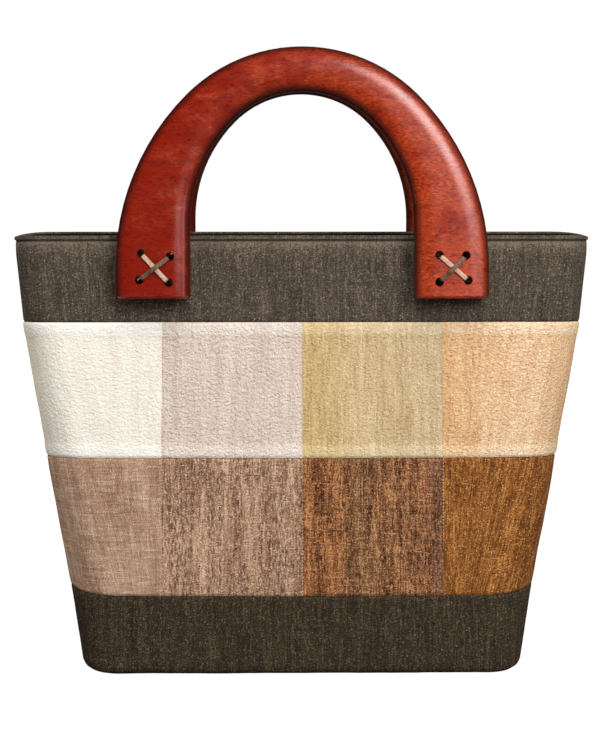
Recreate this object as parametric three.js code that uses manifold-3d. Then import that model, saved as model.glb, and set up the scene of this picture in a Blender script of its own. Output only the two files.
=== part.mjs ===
// A patchwork handbag: a hollow cloth body pieced from bands and patches, and two arched wooden
// handles laced to its top band. Millimetres, +Z up, the front faces -Y, and the origin is on the
// floor under the middle of the bag.
import * as THREE from 'three';
import { mergeVertices } from 'three/addons/utils/BufferGeometryUtils.js';
import Module from 'manifold-3d';

// Cloth and clearances
const CLOTH = 2;
const GAP = 0.3;

// Stations along a panel, counted from its middle: the seam of a middle patch, the start of the
// rounded end, and the side seam. To the left they are negative.
const COLUMN_SEAM = 1;
const ROUND_END = 2;
const SIDE_SEAM = 3;
// Facets of a panel from each station to the next
const FACETS = [
  { from: -SIDE_SEAM, count: 7 },
  { from: -ROUND_END, count: 2 },
  { from: -COLUMN_SEAM, count: 3 },
  { from: 0, count: 3 },
  { from: COLUMN_SEAM, count: 2 },
  { from: ROUND_END, count: 7 },
];
const PATCH_ROWS = 3;

// Rounded lower edge of the base, and the flat hem that it turns under
const ROLL = 4;
const ROLL_STEPS = 3;
const HEM = 9;

// Outer wall of the bag, a row for each level from the floor up. dip is how far the level sinks at
// the side seams, crown how far the front falls back from its middle to its ends, column the width
// of a middle patch, and endLength the length of the rounded end, squareness 2 being an ellipse.
const BASE_EDGE = {
  z: ROLL, dip: 0, halfWidth: 129.6, halfDepth: 40, crown: 0, column: 81, endLength: 24, squareness: 2.3,
};
const BASE_SEAM = {
  z: 46, dip: -0.5, halfWidth: 136.4, halfDepth: 40, crown: 4, column: 81, endLength: 32, squareness: 2,
};
const MID_SEAM = {
  z: 125.5, dip: 2.8, halfWidth: 149, halfDepth: 36.5, crown: 3, column: 80.2, endLength: 24, squareness: 2,
};
const TOP_SEAM = {
  z: 202.5, dip: 2.1, halfWidth: 161.5, halfDepth: 30, crown: 0, column: 79.3, endLength: 21, squareness: 2,
};
const RIM = {
  z: 251.5, dip: 1.9, halfWidth: 166.2, halfDepth: 26, crown: 0, column: 79.3, endLength: 20, squareness: 2,
};

// Fold of the rim: how far each line of it lies below the rim, and how far it stands out of the wall
const RIM_FOLD = [
  { line: 'flat cloth', below: 3.6, out: 0 },
  { line: 'stitch groove', below: 2.8, out: -0.6 },
  { line: 'bead foot', below: 2.1, out: -0.1 },
  { line: 'bead belly', below: 1.2, out: 0 },
  { line: 'bead shoulder', below: 0.4, out: -0.3 },
];
const RIM_ROUNDING = 0.7;

// Patches of one panel: its cloth, the stations of its side seams, and its row
const PATCHES = [
  { cloth: 'cream', from: -SIDE_SEAM, to: -COLUMN_SEAM, row: 'upper', colour: 0xefe7da },
  { cloth: 'mushroom', from: -COLUMN_SEAM, to: 0, row: 'upper', colour: 0xdac6b6 },
  { cloth: 'khaki', from: 0, to: COLUMN_SEAM, row: 'upper', colour: 0xcfb589 },
  { cloth: 'peach', from: COLUMN_SEAM, to: SIDE_SEAM, row: 'upper', colour: 0xe8c095 },
  { cloth: 'taupe', from: -SIDE_SEAM, to: -COLUMN_SEAM, row: 'lower', colour: 0xab8970 },
  { cloth: 'bark', from: -COLUMN_SEAM, to: 0, row: 'lower', colour: 0xa38068 },
  { cloth: 'russet', from: 0, to: COLUMN_SEAM, row: 'lower', colour: 0x885e41 },
  { cloth: 'ochre', from: COLUMN_SEAM, to: SIDE_SEAM, row: 'lower', colour: 0x8f5b30 },
];
const BAND_COLOUR = 0x594e43;
const BASE_COLOUR = 0x40362b;
const CLOTH_ROUGHNESS = 0.9;

// Handle: an arch of two arcs a side, seen square on. Heights are from the rim, along the handle.
const HANDLE = {
  thickness: 15,
  edgeWidth: 12,
  edgeDepth: 6,
  footBottom: -35.8,
  outer: { top: 105.2, topRadius: 92, halfWidth: 105 },
  inner: { top: 80.1, topRadius: 55, halfWidth: 62.9 },
  arcSteps: 8,
  roundingSteps: 3,
  colour: 0x9a3a20,
  roughness: 0.3,
};
const SHOULDER_ANGLE = Math.PI / 4;

// Lace holes, drilled by eye: from the middle of the bag, and along the handle from the rim
const LACE_HOLES = [
  { foot: 'left', corner: 'upper_left', x: -90.2, z: -10.7 },
  { foot: 'left', corner: 'upper_right', x: -74.1, z: -12.3 },
  { foot: 'left', corner: 'lower_left', x: -91.3, z: -25.5 },
  { foot: 'left', corner: 'lower_right', x: -74.9, z: -27 },
  { foot: 'right', corner: 'upper_left', x: 76.5, z: -11.6 },
  { foot: 'right', corner: 'upper_right', x: 91.5, z: -11.9 },
  { foot: 'right', corner: 'lower_left', x: 76.6, z: -26.8 },
  { foot: 'right', corner: 'lower_right', x: 92.7, z: -25.8 },
];
const HOLE_RADIUS = 2.35;
const HOLE_SIDES = 10;

// Laces: flat thongs, one crossing over the other on each foot. Each is pulled against the inward
// side of its holes, and the upper one rises from riseStart to riseEnd before the crossing.
const LACE = {
  width: 2.5, thickness: 0.9, inward: 1.25, bend: 0.7, bendSteps: 2, tail: 9, riseStart: 4.4, riseEnd: 2.4,
  roughness: 0.7,
};
const LACE_STRANDS = [
  { strand: 'under', from: 'upper_left', to: 'lower_right', lift: 0, colour: 0xb08f78 },
  { strand: 'over', from: 'lower_left', to: 'upper_right', lift: LACE.thickness + GAP, colour: 0x7a6a4c },
];

const wasm = await Module();
wasm.setup();

function solidOf(geometry) {
  const bare = geometry.clone();
  bare.deleteAttribute('normal');
  bare.deleteAttribute('uv');
  const merged = mergeVertices(bare);
  return new wasm.Manifold(new wasm.Mesh({
    numProp: 3,
    vertProperties: merged.attributes.position.array,
    triVerts: new Uint32Array(merged.index.array),
  }));
}

function geometryOf(solid) {
  const mesh = solid.getMesh();
  const geometry = new THREE.BufferGeometry();
  geometry.setAttribute('position', new THREE.BufferAttribute(mesh.vertProperties, 3));
  geometry.setIndex(new THREE.BufferAttribute(mesh.triVerts, 1));
  geometry.computeVertexNormals();
  return geometry;
}

function geometryFrom(points, triangles) {
  const geometry = new THREE.BufferGeometry().setFromPoints(points);
  geometry.setIndex(triangles);
  geometry.computeVertexNormals();
  return geometry;
}

function piece(name, geometry, colour, roughness) {
  const material = new THREE.MeshStandardMaterial({ color: colour, roughness, metalness: 0 });
  const mesh = new THREE.Mesh(geometry, material);
  mesh.name = name;
  return mesh;
}

// Levels of the wall from the hem up: the hem, the turns of the roll, and the seams
function rollRow(inset, z) {
  return {
    ...BASE_EDGE,
    z,
    halfWidth: BASE_EDGE.halfWidth - inset,
    halfDepth: BASE_EDGE.halfDepth - inset,
    endLength: BASE_EDGE.endLength - inset,
  };
}

const LEVELS = [rollRow(ROLL + HEM, 0)];
for (let step = 0; step < ROLL_STEPS; step += 1) {
  const turn = (step / ROLL_STEPS) * (Math.PI / 2);
  LEVELS.push(rollRow(ROLL * (1 - Math.sin(turn)), ROLL * (1 - Math.cos(turn))));
}
LEVELS.push(BASE_EDGE, BASE_SEAM, MID_SEAM, TOP_SEAM, RIM);
const AT = {
  hem: 0,
  baseEdge: LEVELS.indexOf(BASE_EDGE),
  baseSeam: LEVELS.indexOf(BASE_SEAM),
  midSeam: LEVELS.indexOf(MID_SEAM),
  topSeam: LEVELS.indexOf(TOP_SEAM),
  rim: LEVELS.indexOf(RIM),
};

// The section of the outer wall at a level, which may lie between two rows
function sectionAt(level) {
  const row = Math.min(Math.floor(level), LEVELS.length - 2);
  const section = {};
  for (const key of Object.keys(RIM)) {
    section[key] = THREE.MathUtils.lerp(LEVELS[row][key], LEVELS[row + 1][key], level - row);
  }
  return section;
}

// A point of a section's front half, at a station
function sectionPoint(station, section) {
  const reach = Math.abs(station);
  const turn = Math.max(0, reach - ROUND_END) * (Math.PI / 2);
  const flat = section.halfWidth - section.endLength;
  let x = reach * section.column;
  if (reach > COLUMN_SEAM) {
    x = THREE.MathUtils.lerp(section.column, flat, Math.min(reach, ROUND_END) - COLUMN_SEAM);
  }
  if (reach > ROUND_END) {
    x = flat + section.endLength * Math.sin(turn) ** (2 / section.squareness);
  }
  const front = section.halfDepth - section.crown * (x / section.halfWidth) ** 2;
  const y = -front * Math.max(0, Math.cos(turn)) ** (2 / section.squareness);
  return new THREE.Vector3(Math.sign(station) * x, y, section.z - section.dip * (1 - Math.cos(turn)));
}

function wallPoint(station, level) {
  return sectionPoint(station, sectionAt(level));
}

// A point of the wall, moved out along the wall's normal, which is found over a small step each way
const STEP = 0.01;

function offsetPoint(station, level, out) {
  const right = wallPoint(Math.min(SIDE_SEAM, station + STEP), level);
  const left = wallPoint(Math.max(-SIDE_SEAM, station - STEP), level);
  const top = wallPoint(station, Math.min(AT.rim, level + STEP));
  const bottom = wallPoint(station, Math.max(AT.hem, level - STEP));
  const normal = right.sub(left).cross(top.sub(bottom)).normalize();
  return wallPoint(station, level).addScaledVector(normal, out);
}

// Stations of a piece between two seams, each seam half a gap away
function stationsBetween(from, to) {
  const stations = [];
  for (const facets of FACETS) {
    if (facets.from >= from && facets.from < to) {
      for (let facet = 0; facet < facets.count; facet += 1) {
        stations.push(facets.from + facet / facets.count);
      }
    }
  }
  stations.push(to);
  const width = (a, b) => wallPoint(a, AT.midSeam).distanceTo(wallPoint(b, AT.midSeam));
  stations[0] += (STEP * GAP) / 2 / width(from, from + STEP);
  stations[stations.length - 1] -= (STEP * GAP) / 2 / width(to, to - STEP);
  return stations;
}

// A level a few millimetres up or down the wall from another
function levelNear(level, rise) {
  const row = rise > 0 ? level : level - 1;
  return level + rise / (LEVELS[row + 1].z - LEVELS[row].z);
}

// A closed solid between two grids of points with the same rows and columns
function slab(outer, inner) {
  const rows = outer.length;
  const columns = outer[0].length;
  const top = rows - 1;
  const end = columns - 1;
  const triangles = [];
  const quad = (a, b, c, d) => triangles.push(a, b, c, a, c, d);
  const out = (row, column) => row * columns + column;
  const back = (row, column) => (rows + row) * columns + column;
  for (let row = 0; row < top; row += 1) {
    for (let column = 0; column < end; column += 1) {
      quad(out(row, column), out(row, column + 1), out(row + 1, column + 1), out(row + 1, column));
      quad(back(row, column), back(row + 1, column), back(row + 1, column + 1), back(row, column + 1));
    }
    quad(out(row, 0), out(row + 1, 0), back(row + 1, 0), back(row, 0));
    quad(out(row + 1, end), out(row, end), back(row, end), back(row + 1, end));
  }
  for (let column = 0; column < end; column += 1) {
    quad(out(0, column + 1), out(0, column), back(0, column), back(0, column + 1));
    quad(out(top, column), out(top, column + 1), back(top, column + 1), back(top, column));
  }
  return geometryFrom([...outer.flat(), ...inner.flat()], triangles);
}

// A cloth wall over some stations and levels; each row says how far its outer face stands out
function clothWall(stations, rows) {
  const outer = rows.map((row) => stations.map((station) => offsetPoint(station, row.level, row.out)));
  const inner = rows.map((row) => stations.map((station) => offsetPoint(station, row.level, row.inner)));
  return slab(outer, inner);
}

function plainRow(level) {
  return { level, out: 0, inner: -CLOTH };
}

function patchGeometry(patch) {
  const bottom = patch.row === 'upper' ? AT.midSeam : AT.baseSeam;
  const low = levelNear(bottom, GAP / 2);
  const high = levelNear(bottom + 1, -GAP / 2);
  const rows = [];
  for (let row = 0; row <= PATCH_ROWS; row += 1) {
    rows.push(plainRow(THREE.MathUtils.lerp(low, high, row / PATCH_ROWS)));
  }
  return clothWall(stationsBetween(patch.from, patch.to), rows);
}

function bandGeometry() {
  const low = levelNear(AT.topSeam, GAP / 2);
  const rows = [plainRow(low), plainRow((low + AT.rim) / 2)];
  for (const fold of RIM_FOLD) {
    rows.push({ level: levelNear(AT.rim, -fold.below), out: fold.out, inner: -CLOTH });
  }
  rows.push({ level: AT.rim, out: -RIM_ROUNDING, inner: RIM_ROUNDING - CLOTH });
  return clothWall(stationsBetween(-SIDE_SEAM, SIDE_SEAM), rows);
}

function baseGeometry() {
  const rows = [];
  for (let level = AT.hem; level <= AT.baseEdge; level += 1) {
    rows.push(plainRow(level));
  }
  rows.push(plainRow((AT.baseEdge + AT.baseSeam) / 2), plainRow(levelNear(AT.baseSeam, -GAP / 2)));
  return clothWall(stationsBetween(-SIDE_SEAM, SIDE_SEAM), rows);
}

// The bottom lies flat inside the hem
function bottomGeometry() {
  const edge = rollRow(ROLL + HEM + GAP, 0);
  const front = stationsBetween(-SIDE_SEAM, SIDE_SEAM).map((station) => sectionPoint(station, edge));
  const outline = [
    ...front.map((point) => new THREE.Vector2(point.x, point.y)),
    ...front.map((point) => new THREE.Vector2(-point.x, -point.y)),
  ];
  return new THREE.ExtrudeGeometry(new THREE.Shape(outline), { depth: CLOTH, bevelEnabled: false });
}

// The frame of a handle on the top band: its origin on the rim, z up along the leaning wall, y inwards
const LEAN = Math.atan2(TOP_SEAM.halfDepth - RIM.halfDepth, RIM.z - TOP_SEAM.z);

function onBand(object) {
  object.position.set(0, -RIM.halfDepth, RIM.z);
  object.rotation.set(-LEAN, 0, 0);
  object.updateMatrix();
  return object;
}

// One edge of the arch: a top arc, and on each side a wider arc that runs down into a straight leg
function archEdge({ top, topRadius, halfWidth }) {
  const shoulderX = topRadius * Math.sin(SHOULDER_ANGLE);
  const sideRadius = (halfWidth - shoulderX) / (1 - Math.cos(SHOULDER_ANGLE));
  const shoulderY = top - topRadius * (1 - Math.cos(SHOULDER_ANGLE));
  return {
    halfWidth,
    topRadius,
    sideRadius,
    topCentre: top - topRadius,
    sideCentreX: halfWidth - sideRadius,
    sideCentreY: shoulderY - sideRadius * Math.sin(SHOULDER_ANGLE),
  };
}

function archShape(footEnd) {
  const outer = archEdge(HANDLE.outer);
  const inner = archEdge(HANDLE.inner);
  const right = SHOULDER_ANGLE;
  const left = Math.PI - SHOULDER_ANGLE;
  const shape = new THREE.Shape();
  shape.moveTo(-outer.halfWidth, footEnd);
  shape.lineTo(-outer.halfWidth, outer.sideCentreY);
  shape.absarc(-outer.sideCentreX, outer.sideCentreY, outer.sideRadius, Math.PI, left, true);
  shape.absarc(0, outer.topCentre, outer.topRadius, left, right, true);
  shape.absarc(outer.sideCentreX, outer.sideCentreY, outer.sideRadius, right, 0, true);
  shape.lineTo(outer.halfWidth, footEnd);
  shape.lineTo(inner.halfWidth, footEnd);
  shape.absarc(inner.sideCentreX, inner.sideCentreY, inner.sideRadius, 0, right, false);
  shape.absarc(0, inner.topCentre, inner.topRadius, right, left, false);
  shape.absarc(-inner.sideCentreX, inner.sideCentreY, inner.sideRadius, left, Math.PI, false);
  shape.lineTo(-inner.halfWidth, footEnd);
  return shape;
}

function laceHole(hole) {
  const length = 2 * (HANDLE.thickness + CLOTH + 2 * GAP);
  const drill = new THREE.CylinderGeometry(HOLE_RADIUS, HOLE_RADIUS, length, HOLE_SIDES);
  return drill.translate(hole.x, 0, hole.z);
}

// The handle is rounded all along its edges, and its feet are then sawn off square and drilled
function handleGeometry() {
  const spare = 3 * HANDLE.edgeWidth;
  const blank = new THREE.ExtrudeGeometry(archShape(HANDLE.footBottom - spare), {
    depth: HANDLE.thickness - 2 * HANDLE.edgeDepth,
    bevelThickness: HANDLE.edgeDepth,
    bevelSize: HANDLE.edgeWidth,
    bevelOffset: -HANDLE.edgeWidth,
    bevelSegments: HANDLE.roundingSteps,
    curveSegments: HANDLE.arcSteps,
  });
  blank.translate(0, 0, HANDLE.edgeDepth + GAP).rotateX(Math.PI / 2);
  const sawn = new THREE.BoxGeometry(3 * HANDLE.outer.halfWidth, 3 * HANDLE.thickness, 2 * spare);
  sawn.translate(0, -HANDLE.thickness / 2, HANDLE.footBottom - spare);
  let solid = solidOf(blank).subtract(solidOf(sawn));
  for (const hole of LACE_HOLES) {
    solid = solid.subtract(solidOf(laceHole(hole)));
  }
  return geometryOf(solid);
}

function drilledBandGeometry() {
  const frame = onBand(new THREE.Object3D()).matrix;
  let solid = solidOf(bandGeometry());
  for (const hole of LACE_HOLES) {
    solid = solid.subtract(solidOf(laceHole(hole).applyMatrix4(frame)));
  }
  return geometryOf(solid);
}

// Middle line of a lace, as points along the lace and out of the wall: from a tail inside the bag,
// out through one hole, over the foot, and back through the other hole to its tail
function lacePath(span, lift) {
  const inside = -(CLOTH + GAP + LACE.thickness / 2);
  const outside = HANDLE.thickness + 2 * GAP + LACE.thickness / 2;
  const bend = LACE.bend;
  const hole = -span / 2;
  const half = [new THREE.Vector2(hole - LACE.tail, inside)];
  for (let step = 0; step <= LACE.bendSteps; step += 1) {
    const turn = (step / LACE.bendSteps) * (Math.PI / 2);
    half.push(new THREE.Vector2(hole - bend * (1 - Math.sin(turn)), inside + bend * (1 - Math.cos(turn))));
  }
  for (let step = 0; step <= LACE.bendSteps; step += 1) {
    const turn = (step / LACE.bendSteps) * (Math.PI / 2);
    half.push(new THREE.Vector2(hole + bend * (1 - Math.cos(turn)), outside - bend * (1 - Math.sin(turn))));
  }
  half.push(new THREE.Vector2(-LACE.riseStart, outside), new THREE.Vector2(-LACE.riseEnd, outside + lift));
  const mirrored = half.map((point) => new THREE.Vector2(-point.x, point.y)).reverse();
  return [...half, ...mirrored];
}

// Section of a lace: a flat strip with its corners taken off, as shares of its width and thickness
const LACE_SECTION = [
  { across: -0.5, through: 0 },
  { across: -0.36, through: -0.5 },
  { across: 0.36, through: -0.5 },
  { across: 0.5, through: 0 },
  { across: 0.36, through: 0.5 },
  { across: -0.36, through: 0.5 },
];

function laceGeometry(from, to, lift) {
  const start = new THREE.Vector3(from.x, 0, from.z);
  const end = new THREE.Vector3(to.x, 0, to.z);
  const along = end.clone().sub(start).normalize();
  const outwards = new THREE.Vector3(0, -1, 0);
  const across = new THREE.Vector3().crossVectors(outwards, along);
  const middle = start.clone().add(end).multiplyScalar(0.5);
  const path = lacePath(start.distanceTo(end) - 2 * LACE.inward, lift);
  const points = [];
  path.forEach((point, index) => {
    const before = path[Math.max(0, index - 1)];
    const after = path[Math.min(path.length - 1, index + 1)];
    const tangent = after.clone().sub(before).normalize();
    for (const corner of LACE_SECTION) {
      const through = corner.through * LACE.thickness;
      points.push(middle.clone()
        .addScaledVector(along, point.x - tangent.y * through)
        .addScaledVector(outwards, point.y + tangent.x * through)
        .addScaledVector(across, corner.across * LACE.width));
    }
  });
  return geometryFrom(points, tubeTriangles(path.length, LACE_SECTION.length));
}

// Triangles of a tube of rings with as many corners each, closed by a flat end at each end
function tubeTriangles(rings, corners) {
  const triangles = [];
  for (let ring = 0; ring + 1 < rings; ring += 1) {
    for (let corner = 0; corner < corners; corner += 1) {
      const a = ring * corners + corner;
      const b = ring * corners + ((corner + 1) % corners);
      triangles.push(a, b, b + corners, a, b + corners, a + corners);
    }
  }
  const last = (rings - 1) * corners;
  for (let corner = 1; corner + 1 < corners; corner += 1) {
    triangles.push(0, corner + 1, corner, last, last + corner, last + corner + 1);
  }
  return triangles;
}

function laceOn(foot, { strand, from, to, lift, colour }, side) {
  const hole = (corner) => LACE_HOLES.find((row) => row.foot === foot && row.corner === corner);
  const geometry = laceGeometry(hole(from), hole(to), lift);
  return piece(`lace_${side}_${foot}_${strand}`, geometry, colour, LACE.roughness);
}

// One side of the bag: its panel, its half of the base, and its handle with the laces
function bagSide(side) {
  const group = new THREE.Group();
  group.add(piece(`top_band_${side}`, drilledBandGeometry(), BAND_COLOUR, CLOTH_ROUGHNESS));
  for (const patch of PATCHES) {
    group.add(piece(`patch_${side}_${patch.cloth}`, patchGeometry(patch), patch.colour, CLOTH_ROUGHNESS));
  }
  group.add(piece(`base_${side}`, baseGeometry(), BASE_COLOUR, CLOTH_ROUGHNESS));
  const fittings = onBand(new THREE.Group());
  fittings.add(piece(`handle_${side}`, handleGeometry(), HANDLE.colour, HANDLE.roughness));
  for (const foot of ['left', 'right']) {
    for (const strand of LACE_STRANDS) {
      fittings.add(laceOn(foot, strand, side));
    }
  }
  group.add(fittings);
  return group;
}

const bag = new THREE.Group();
bag.add(bagSide('front'));
const back = bagSide('back');
back.rotation.z = Math.PI;
bag.add(back);
bag.add(piece('base_bottom', bottomGeometry(), BASE_COLOUR, CLOTH_ROUGHNESS));

export default bag;
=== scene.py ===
# %% [markdown]
# # A patchwork bag with wooden handles
# The bag is a tapered cloth body, pieced from a dark top band, two rows of four patches and a dark
# base. Two arched wooden handles are laced to the outside of the band. The solids of the frame
# give each piece its size and place, and this lesson dresses them in cloth, wood and leather.
# Everything is in metres, +Z is up, and the front of the bag faces -Y.

# %% Load the frame
import contextlib
import math
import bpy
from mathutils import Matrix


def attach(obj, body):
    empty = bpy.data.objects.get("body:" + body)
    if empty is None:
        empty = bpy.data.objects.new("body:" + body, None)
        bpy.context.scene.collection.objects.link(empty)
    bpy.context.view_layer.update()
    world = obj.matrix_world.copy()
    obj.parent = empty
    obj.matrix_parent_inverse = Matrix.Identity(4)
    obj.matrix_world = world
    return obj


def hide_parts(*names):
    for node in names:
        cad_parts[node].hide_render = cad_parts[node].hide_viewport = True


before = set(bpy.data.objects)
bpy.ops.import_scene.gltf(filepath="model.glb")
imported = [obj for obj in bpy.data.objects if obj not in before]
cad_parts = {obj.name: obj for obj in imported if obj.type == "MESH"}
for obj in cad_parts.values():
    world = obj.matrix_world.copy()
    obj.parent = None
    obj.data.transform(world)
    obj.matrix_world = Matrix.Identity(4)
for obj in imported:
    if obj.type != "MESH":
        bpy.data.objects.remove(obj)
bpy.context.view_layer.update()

from types import SimpleNamespace

import bpy
import numpy as np
from mathutils import Matrix, Vector

MM = 0.001
bpy.ops.object.select_all(action="DESELECT")
print("solids in the frame:", len(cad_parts))

# %% [markdown]
# ## Camera
# A bag like this is pictured from straight in front, a little above its rim, with a long lens, so
# that its seams stay nearly level. The camera stands about a metre away and looks slightly down. Its
# place was found by matching the rim, the seams and the floor line with the picture.

# %% Place the camera
CAMERA_PLACE = (-0.014, -1.100, 0.3007)
CAMERA_PITCH = math.radians(6.84)
CAMERA_YAW = math.radians(0.68)
SENSOR_WIDTH = 36
LENS = 90.89
bpy.ops.object.camera_add(location=CAMERA_PLACE, rotation=(math.pi / 2 - CAMERA_PITCH, 0, -CAMERA_YAW))
camera = bpy.context.object
camera.name = "camera"
camera.data.sensor_width = SENSOR_WIDTH
camera.data.lens = LENS
bpy.context.scene.camera = camera
print("camera lens:", LENS, "mm")


# %% [markdown]
# ## Nodes
# The floor, the light and every finish are mixed from nodes. Wiring each node line by line would hide
# what is mixed, so three helpers come first. One fills or links the sockets of a node, one adds a
# node with its options, and one starts a material and hands over its node tree and its shader.

# %% Helpers for nodes
def feed(tree, node, sockets):
    """Sets each socket of a node to a value, or links it to the output of another node."""
    for socket, value in sockets.items():
        if isinstance(value, bpy.types.NodeSocket):
            tree.links.new(value, node.inputs[socket])
        else:
            node.inputs[socket].default_value = value
    return node


def put(tree, kind, sockets=None, **options):
    """Adds a node, sets its options and feeds its sockets."""
    node = tree.nodes.new("ShaderNode" + kind)
    for option, value in options.items():
        setattr(node, option, value)
    return feed(tree, node, sockets or {})


def new_material(name):
    """A new material, with its node tree and its shader."""
    material = bpy.data.materials.new(name)
    material.use_nodes = True
    return material, material.node_tree, material.node_tree.nodes["Principled BSDF"]


print("node helpers:", [helper.__name__ for helper in (feed, put, new_material)])

# %% [markdown]
# ## Floor and light
# The bag stands on white paper in a white studio. A plane is enough for the paper. It glows white for
# the camera only, and is grey to the light, so that it throws little of it up onto the base. Matt cloth
# and shiny lacquer are lit apart, as a photographer does with flags: each softbox is seen by one of
# them alone, and the white world nearly vanishes for reflections. The standard view keeps the colours.

# %% Floor
WHITE = (1, 1, 1, 1)
FLOOR_GREY = (0.07, 0.07, 0.07, 1)
FLOOR_SIZE = 14
FLOOR_DROP = 0.4
bpy.context.scene.view_settings.view_transform = "Standard"
bpy.ops.mesh.primitive_plane_add(size=FLOOR_SIZE, location=(0, 0, -FLOOR_DROP * MM))
floor = bpy.context.object
floor.name = "floor"
paper, tree, shader = new_material("floor_paper")
for_camera = put(tree, "LightPath").outputs["Is Camera Ray"]
feed(tree, shader, {"Base Color": FLOOR_GREY, "Roughness": 0.9, "Emission Color": WHITE,
                    "Emission Strength": for_camera})
floor.data.materials.append(paper)
print("floor at", -FLOOR_DROP, "mm")

# %% White studio
FILL = 0.7
GLOOM = 0.012
world = bpy.data.worlds.new("white_studio")
bpy.context.scene.world = world
world.use_nodes = True
tree = world.node_tree
ray = put(tree, "LightPath").outputs
fill = feed(tree, tree.nodes["Background"], {"Color": WHITE, "Strength": FILL}).outputs[0]
gloom = put(tree, "Background", {"Strength": GLOOM}).outputs[0]
backdrop = put(tree, "Background", {"Color": WHITE}).outputs[0]
lit = put(tree, "MixShader", {0: ray["Is Glossy Ray"], 1: fill, 2: gloom}).outputs[0]
shown = put(tree, "MixShader", {0: ray["Is Camera Ray"], 1: lit, 2: backdrop}).outputs[0]
feed(tree, tree.nodes["World Output"], {"Surface": shown})
print("fill light:", FILL, "and for reflections:", GLOOM)

# %% Softboxes
SOFTBOXES = [
    # name, place, aim, width, height, power, what it lights
    ("key_softbox", (0.75, -1.15, 0.85), (0, 0, 0.18), 0.5, 0.7, 13.7, "cloth"),
    ("top_softbox", (-0.1, -0.85, 1.5), (0, 0, 0.15), 1.0, 0.7, 8.6, "cloth"),
    ("edge_softbox", (-1.1, -0.3, 0.4), (0, 0, 0.15), 0.5, 0.7, 1.7, "cloth"),
    ("sheen_softbox", (0.55, -1.3, 0.6), (0, 0, 0.3), 0.4, 0.45, 1.2, "lacquer"),
    ("shoulder_softbox", (0.6, -1.15, 0.93), (0, 0, 0.3), 0.55, 0.6, 17.5, "lacquer"),
    ("strip_softbox", (0.92, -0.88, 0.5), (0, 0, 0.3), 0.25, 0.5, 1.2, "lacquer"),
]
for name, place, aim, width, height, power, lights in SOFTBOXES:
    bpy.ops.object.light_add(type="AREA", location=place)
    lamp = bpy.context.object
    lamp.name = name
    lamp.rotation_euler = (Vector(aim) - Vector(place)).to_track_quat("-Z", "Y").to_euler()
    lamp.data.shape = "RECTANGLE"
    lamp.data.size = width
    lamp.data.size_y = height
    lamp.data.energy = power
    lamp.visible_diffuse = lights == "cloth"
    lamp.visible_glossy = lights == "lacquer"
    print(name, power, "W for the", lights)

# %% [markdown]
# ## The wall of the bag
# The body is one tapered wall, wide and deep at the floor and narrow at the mouth. Its outline at
# each seam is a flat front with two rounded ends. A table with a row for each seam is enough: a
# point between two seams is worked out from their rows. Stations count from the middle of the front
# to its side seam: 1 is the seam of a middle patch, 2 the start of the rounded end, 3 the side seam.

# %% Sections of the wall, in millimetres
ROLL = 4
HEM = 9
ROLL_STEPS = 6
SIDE_SEAM = 3
# height, sinking at the side seam, half width, half depth, falling back of the front, width of a
# middle patch, length of the rounded end, squareness of the rounded end
BASE_EDGE = np.array([ROLL, 0, 129.6, 40, 0, 81, 24, 2.3])
BASE_SEAM = np.array([46, -0.5, 136.4, 40, 4, 81, 32, 2])
MID_SEAM = np.array([125.5, 2.8, 149, 36.5, 3, 80.2, 24, 2])
TOP_SEAM = np.array([202.5, 2.1, 161.5, 30, 0, 79.3, 21, 2])
RIM = np.array([251.5, 1.9, 166.2, 26, 0, 79.3, 20, 2])
SHRINKS_BELOW = np.array([0, 0, 1, 1, 0, 0, 1, 0])


def roll_row(inset, height):
    """A row of the base where it rolls under: smaller all round by the inset."""
    row = BASE_EDGE - inset * SHRINKS_BELOW
    row[0] = height
    return row


turns = np.linspace(0, math.pi / 2, ROLL_STEPS + 1)[:-1]
rolled = [roll_row(ROLL * (1 - math.sin(turn)), ROLL * (1 - math.cos(turn))) for turn in turns]
LEVELS = np.array([roll_row(ROLL + HEM, 0), *rolled, BASE_EDGE, BASE_SEAM, MID_SEAM, TOP_SEAM, RIM])
AT_RIM = len(LEVELS) - 1
AT_TOP, AT_MID, AT_BASE = AT_RIM - 1, AT_RIM - 2, AT_RIM - 3
print("rows of the wall:", len(LEVELS))


# %% Points of the wall
def wall(station, level):
    """Points of the front wall, in millimetres, at stations and levels given as arrays."""
    row = np.clip(np.floor(level).astype(int), 0, AT_RIM - 1)
    share = (level - row)[..., None]
    section = LEVELS[row] * (1 - share) + LEVELS[row + 1] * share
    height, dip, half_width, half_depth, crown, column, end, squareness = np.moveaxis(section, -1, 0)
    reach = np.abs(station)
    turn = np.clip(reach - 2, 0, 1) * math.pi / 2
    middle = np.minimum(reach, 1) * column + np.clip(reach - 1, 0, 1) * (half_width - end - column)
    x = middle + end * np.sin(turn) ** (2 / squareness)
    front = half_depth - crown * (x / half_width) ** 2
    y = -front * np.maximum(0, np.cos(turn)) ** (2 / squareness)
    return np.stack([np.sign(station) * x, y, height - dip * (1 - np.cos(turn))], -1)


corner = wall(np.array([SIDE_SEAM]), np.array([AT_RIM]))[0]
print("rim at the side seam:", corner.round(1), "mm")

# %% Directions on the wall
NUDGE = 0.004


def unit(vectors):
    """The same directions with a length of 1."""
    return vectors / np.linalg.norm(vectors, axis=-1, keepdims=True)


def wall_frame(station, level):
    """Points of the wall with three directions at each: across, up, and out of the cloth."""
    left, right = (np.clip(station + nudge, -SIDE_SEAM, SIDE_SEAM) for nudge in (-NUDGE, NUDGE))
    below, above = (np.clip(level + nudge, 0, AT_RIM) for nudge in (-NUDGE, NUDGE))
    across = unit(wall(right, level) - wall(left, level))
    up = unit(wall(station, above) - wall(station, below))
    return wall(station, level), across, up, unit(np.cross(across, up))


out_of_front = wall_frame(np.array([0.0]), np.array([AT_TOP + 0.5]))[-1][0]
print("the band faces", out_of_front.round(2))

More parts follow.
